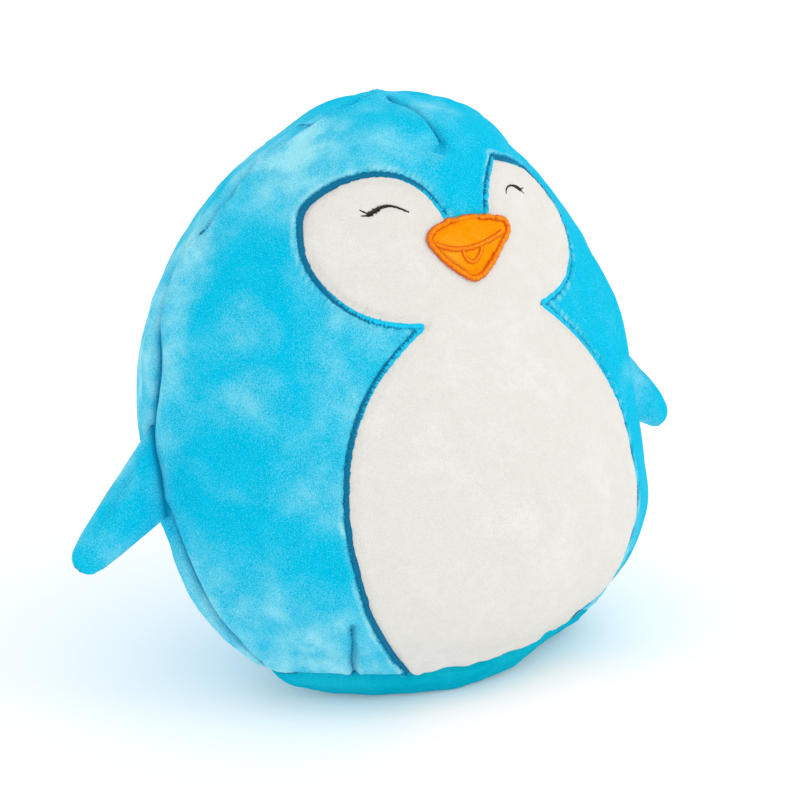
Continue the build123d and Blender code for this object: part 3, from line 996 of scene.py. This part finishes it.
# The soft flippers don't hang quite alike: how far each is swept back and how steeply it is lifted
FLIPPER_SWEEP = {-1: math.radians(12), 1: math.radians(18)}
FLIPPER_LIFT = {-1: 0.0, 1: 0.13}
# In the flipper's own plane, as (out, up) in millimetres from the middle of its root
ROOT_TOP, ROOT_FOOT = np.array((0, 23.8)), np.array((0, -23.8))
TIP_UPPER, TIP_LOWER = np.array((55.5, -33.5)), np.array((44.5, -47.5))
# Share of the length, share of the width there, half thickness in millimetres
FLIPPER_SECTIONS = [(0, 1, 1.2), (0.12, 1, 4), (0.35, 1, 7.5), (0.6, 1, 8), (0.82, 0.97, 6.5)]
FLIPPER_SECTIONS += [(0.94, 0.82, 4.4), (0.98, 0.62, 3.2), (1, 0.34, 1.4)]
ALONG, ACROSS = 90, 64
FLIPPER_REACH = 54  # how far a flipper stands out from the seam, in millimetres
CAUGHT_SHARE = 0.07  # of the reach, caught inside the seam
FLIPPER_LENGTH = 70 * MM  # from its root to its tip
FLIPPER_FABRIC = 2.0  # how far the filling stays inside the fabric's outer side, in millimetres


def flipper_frame(side):
    """The middle of a flipper's root and its outward, upward and forward directions."""
    low = Vector((side * ROOT_X, seam_y(ROOT_LOW_Z), ROOT_LOW_Z))
    high = Vector((side * ROOT_X, seam_y(ROOT_HIGH_Z), ROOT_HIGH_Z))
    upwards = (high - low).normalized()
    outwards = Vector((side, 0, 0))
    outwards = (outwards - upwards * outwards.dot(upwards)).normalized()
    behind = Vector((0, 1, 0))
    behind = (behind - upwards * behind.dot(upwards)).normalized()
    outwards = outwards * math.cos(FLIPPER_SWEEP[side]) + behind * math.sin(FLIPPER_SWEEP[side])
    forwards = outwards.cross(upwards) * side
    forwards *= -1 if forwards.y > 0 else 1
    return (low + high) / 2, outwards, upwards, forwards


def flipper_points(side, face, inward=0.0):
    """A grid over one face of a flipper: +1 is its front and -1 its back; rows run from root to tip."""
    middle, outwards, upwards, forwards = flipper_frame(side)
    at, widths, halves = np.array(FLIPPER_SECTIONS).T
    grid = np.zeros((ALONG + 1, ACROSS + 1, 3))
    for j, step in enumerate(np.linspace(-CAUGHT_SHARE, 1, ALONG + 1)):
        f, caught = max(step, 0), np.array((FLIPPER_REACH * min(step, 0), 0))
        upper = ROOT_TOP + f * (TIP_UPPER - ROOT_TOP) + caught
        lower = ROOT_FOOT + f * (TIP_LOWER - ROOT_FOOT) + caught
        half = (upper - lower) / 2 * np.interp(f, at, widths)
        half *= 1 - inward / np.linalg.norm(half)
        thick = max(0.3, np.interp(f, at, halves) - inward)
        for i, w in enumerate(np.sin(np.linspace(-math.pi / 2, math.pi / 2, ACROSS + 1))):
            out, rise = (upper + lower) / 2 + w * half
            rise += FLIPPER_LIFT[side] * out
            edge = np.linalg.norm(half) * (1 - abs(w))
            puff = thick * (1 - w * w) ** 0.55
            if not inward:
                puff += rib(f, w, edge) + 0.9 * noise.noise(Vector((out * 0.09, rise * 0.09, side + face)))
                puff *= 1 - 0.5 * math.exp(-((edge / 1.2) ** 2))
            place = outwards * float(out) + upwards * float(rise) + forwards * float(face * puff)
            grid[j, i] = middle + MM * place
    return grid


def rib(f, w, edge):
    """Fine pulled ribs that run beside the upper edge of a flipper."""
    if w < 0:
        return 0.0
    beside = math.exp(-(((edge - 5) / 4) ** 2))
    return 0.5 * beside * math.cos(edge * 2.8) * math.sin(math.pi * min(1, f * 1.1))


def flipper_sheen_and_shade(grid):
    """Where a flipper's pile is painted light, as random nap spots and painted sheen along its edges, and
    the painted shadow beside its root.
    """
    rows, columns = grid.shape[:2]
    across = np.abs(np.linspace(-1, 1, columns))[None, :] ** 3
    from_root = np.arange(rows)[:, None] * FLIPPER_LENGTH / rows
    spots = lumps(grid.reshape(-1, 3), 50, 14).reshape(rows, columns)
    # Painted sheen along both edges, over random nap spots
    nap_and_edge_sheen = 0.1 + 0.5 * spots + 0.5 * across
    # Painted shadow: darker for a few millimetres beside the root
    return np.clip(nap_and_edge_sheen, 0, 1.3), np.broadcast_to(fade(from_root - 4 * MM, 3.5 * MM), (rows, columns))


def join_to_body(piece, side):
    """Bakes a flipper piece's placement into its points."""
    middle, outwards, _, _ = flipper_frame(side)
    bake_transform(piece)


for side, name in ((-1, "left_flipper"), (1, "right_flipper")):
    for face, panel_name in ((1, "front"), (-1, "back")):
        points = flipper_points(side, face)
        faces = quads_between(numbers(points), face * side > 0)
        piece = new_mesh(f"{name}_{panel_name}", points.reshape(-1, 3), faces, blue_pile)
        nap_and_edge_sheen, shade = flipper_sheen_and_shade(points)
        add_layer(piece, "brushed", nap_and_edge_sheen)
        add_layer(piece, "crevice", shade)
        join_to_body(piece, side)
        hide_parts(f"{name}_{panel_name}_panel")
    front, back = (flipper_points(side, face, FLIPPER_FABRIC) for face in (1, -1))
    ids = numbers(front)
    faces = np.concatenate([quads_between(ids, side > 0), quads_between(ids + ids.size, side < 0)])
    points = np.concatenate([front.reshape(-1, 3), back.reshape(-1, 3)])
    filling = new_mesh(name + "_filling", points, faces, fibre)
    join_to_body(filling, side)
    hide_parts(name + "_stuffing")
    grid = flipper_points(side, 1, 0.9)
    edge = resample(np.concatenate([grid[2:, -1], grid[-1, ::-1], grid[::-1, 0][:-2]]), 300)
    centre = grid.reshape(-1, 3).mean(axis=0)
    out = edge - centre
    out /= np.linalg.norm(out, axis=1)[:, None]
    seam = running(name + "_stitches", edge, out, 2.2 * MM, 0.9 * MM, blue_thread, seed=50)
    join_to_body(seam, side)
    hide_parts(name + "_seam_thread")

# -------- stitches in the seams and darts
def in_valley(line):
    """A seam's line, evened out and sunk a little, with its outward directions."""
    line = resample(line, 900)
    for _ in range(4):
        line[1:-1] = (line[:-2] + line[1:-1] + line[2:]) / 3
    up = line - np.array(BODY_CENTRE)
    up /= np.linalg.norm(up, axis=1)[:, None]
    return line - 0.1 * MM * up, up


side_line, base_line = seam_lines(skin.data)
# The side seam's chain starts at the crown, and its longest step is the one from foot to foot
foot = 1 + np.argmax(np.linalg.norm(np.diff(side_line, axis=0), axis=1))
side_line = np.roll(side_line, -foot, axis=0)
for number, (name, seam) in enumerate((("side_seam", side_line), ("base_seam", base_line))):
    line, up = in_valley(seam)
    stitches = running(name + "_stitches", line, up, 2.4 * MM, 1.0 * MM, blue_thread, seed=60 + number)
    finish_thread(stitches, name + "_thread")
for name, dart in zip(("top_dart", "right_dart", "left_dart"), DARTS):
    line, up = laid(skin_surface, smooth_curve(dart), 0.5 * MM)
    stitches = running(name + "_stitches", line, up, 2.0 * MM, 0.9 * MM, blue_thread, seed=62)
    finish_thread(stitches, name + "_stitching")

# The closing ladder stitch: short bars across the base seam, in the middle of the back
back_seam = base_line[(np.abs(base_line[:, 0]) < 35 * MM) & (base_line[:, 1] > 0.05)]
line, up = in_valley(back_seam[np.argsort(back_seam[:, 0])])
line, up = line[::32], up[::32]
bar = np.array((0, 0, 1.3 * MM))
bow = np.full(len(line), 0.5 * MM)
ladder = tubes("closing_stitches", line - bar, line + bar, up, bow, 0.25 * MM, blue_thread, seed=63)
finish_thread(ladder, "closing_stitch")

# -------- stuffing
filling_points = np.array([Vector(p) for p in grid_points])
core = new_mesh("filling", filling_points, grid_faces, fibre)
shrink = 0.93 + 0.012 * lumps(filling_points, 60, 9)
middle = np.array(BODY_CENTRE)
move_to(core.data, middle + (filling_points - middle) * shrink[:, None])
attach(core, "body")
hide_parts("body_stuffing")

bpy.data.objects.remove(skin)

# -------- floor, light and camera
floor = new_mesh("floor", [(-6, -6, 0), (6, -6, 0), (6, 6, 0), (-6, 6, 0)], [[0, 1, 2, 3]])
paper = Nodes("floor")
glow = {"Emission_Color": (1, 1, 1, 1), "Emission_Strength": 0.16}
floor.data.materials.append(paper.surface((0.9, 0.9, 0.9, 1), 0.8, **glow))

scene = bpy.context.scene
world = bpy.data.worlds.new("studio")
world.use_nodes = True
world.node_tree.nodes["Background"].inputs["Color"].default_value = (1, 1, 1, 1)
world.node_tree.nodes["Background"].inputs["Strength"].default_value = 1.0
scene.world = world
scene.view_settings.view_transform = "Standard"

AZIMUTH, ELEVATION = math.radians(-37.61), math.radians(16.47)
DISTANCE = 1.461
LENS = 125.6
TARGET = Vector((0, 0, 0.150))


def aimed(name, data, towards, distance):
    """Puts a light or the camera at a distance from the target, in a direction, looking back at it."""
    thing = bpy.data.objects.new(name, data)
    towards = Vector(towards).normalized()
    thing.location = TARGET + towards * distance
    thing.rotation_euler = towards.to_track_quat("Z", "Y").to_euler()
    scene.collection.objects.link(thing)
    return thing


key_light = bpy.data.lights.new("key", "AREA")
key_light.shape = "DISK"
key_light.size = 0.9
key_light.energy = 3
aimed("key", key_light, (0.55, -0.7, 0.9), 1.6)

camera_data = bpy.data.cameras.new("camera")
camera_data.lens = LENS
camera_data.shift_x = -0.0607
camera_data.shift_y = -0.0072
level = math.cos(ELEVATION)
towards = (math.sin(AZIMUTH) * level, -math.cos(AZIMUTH) * level, math.sin(ELEVATION))
scene.camera = aimed("camera", camera_data, towards, DISTANCE)
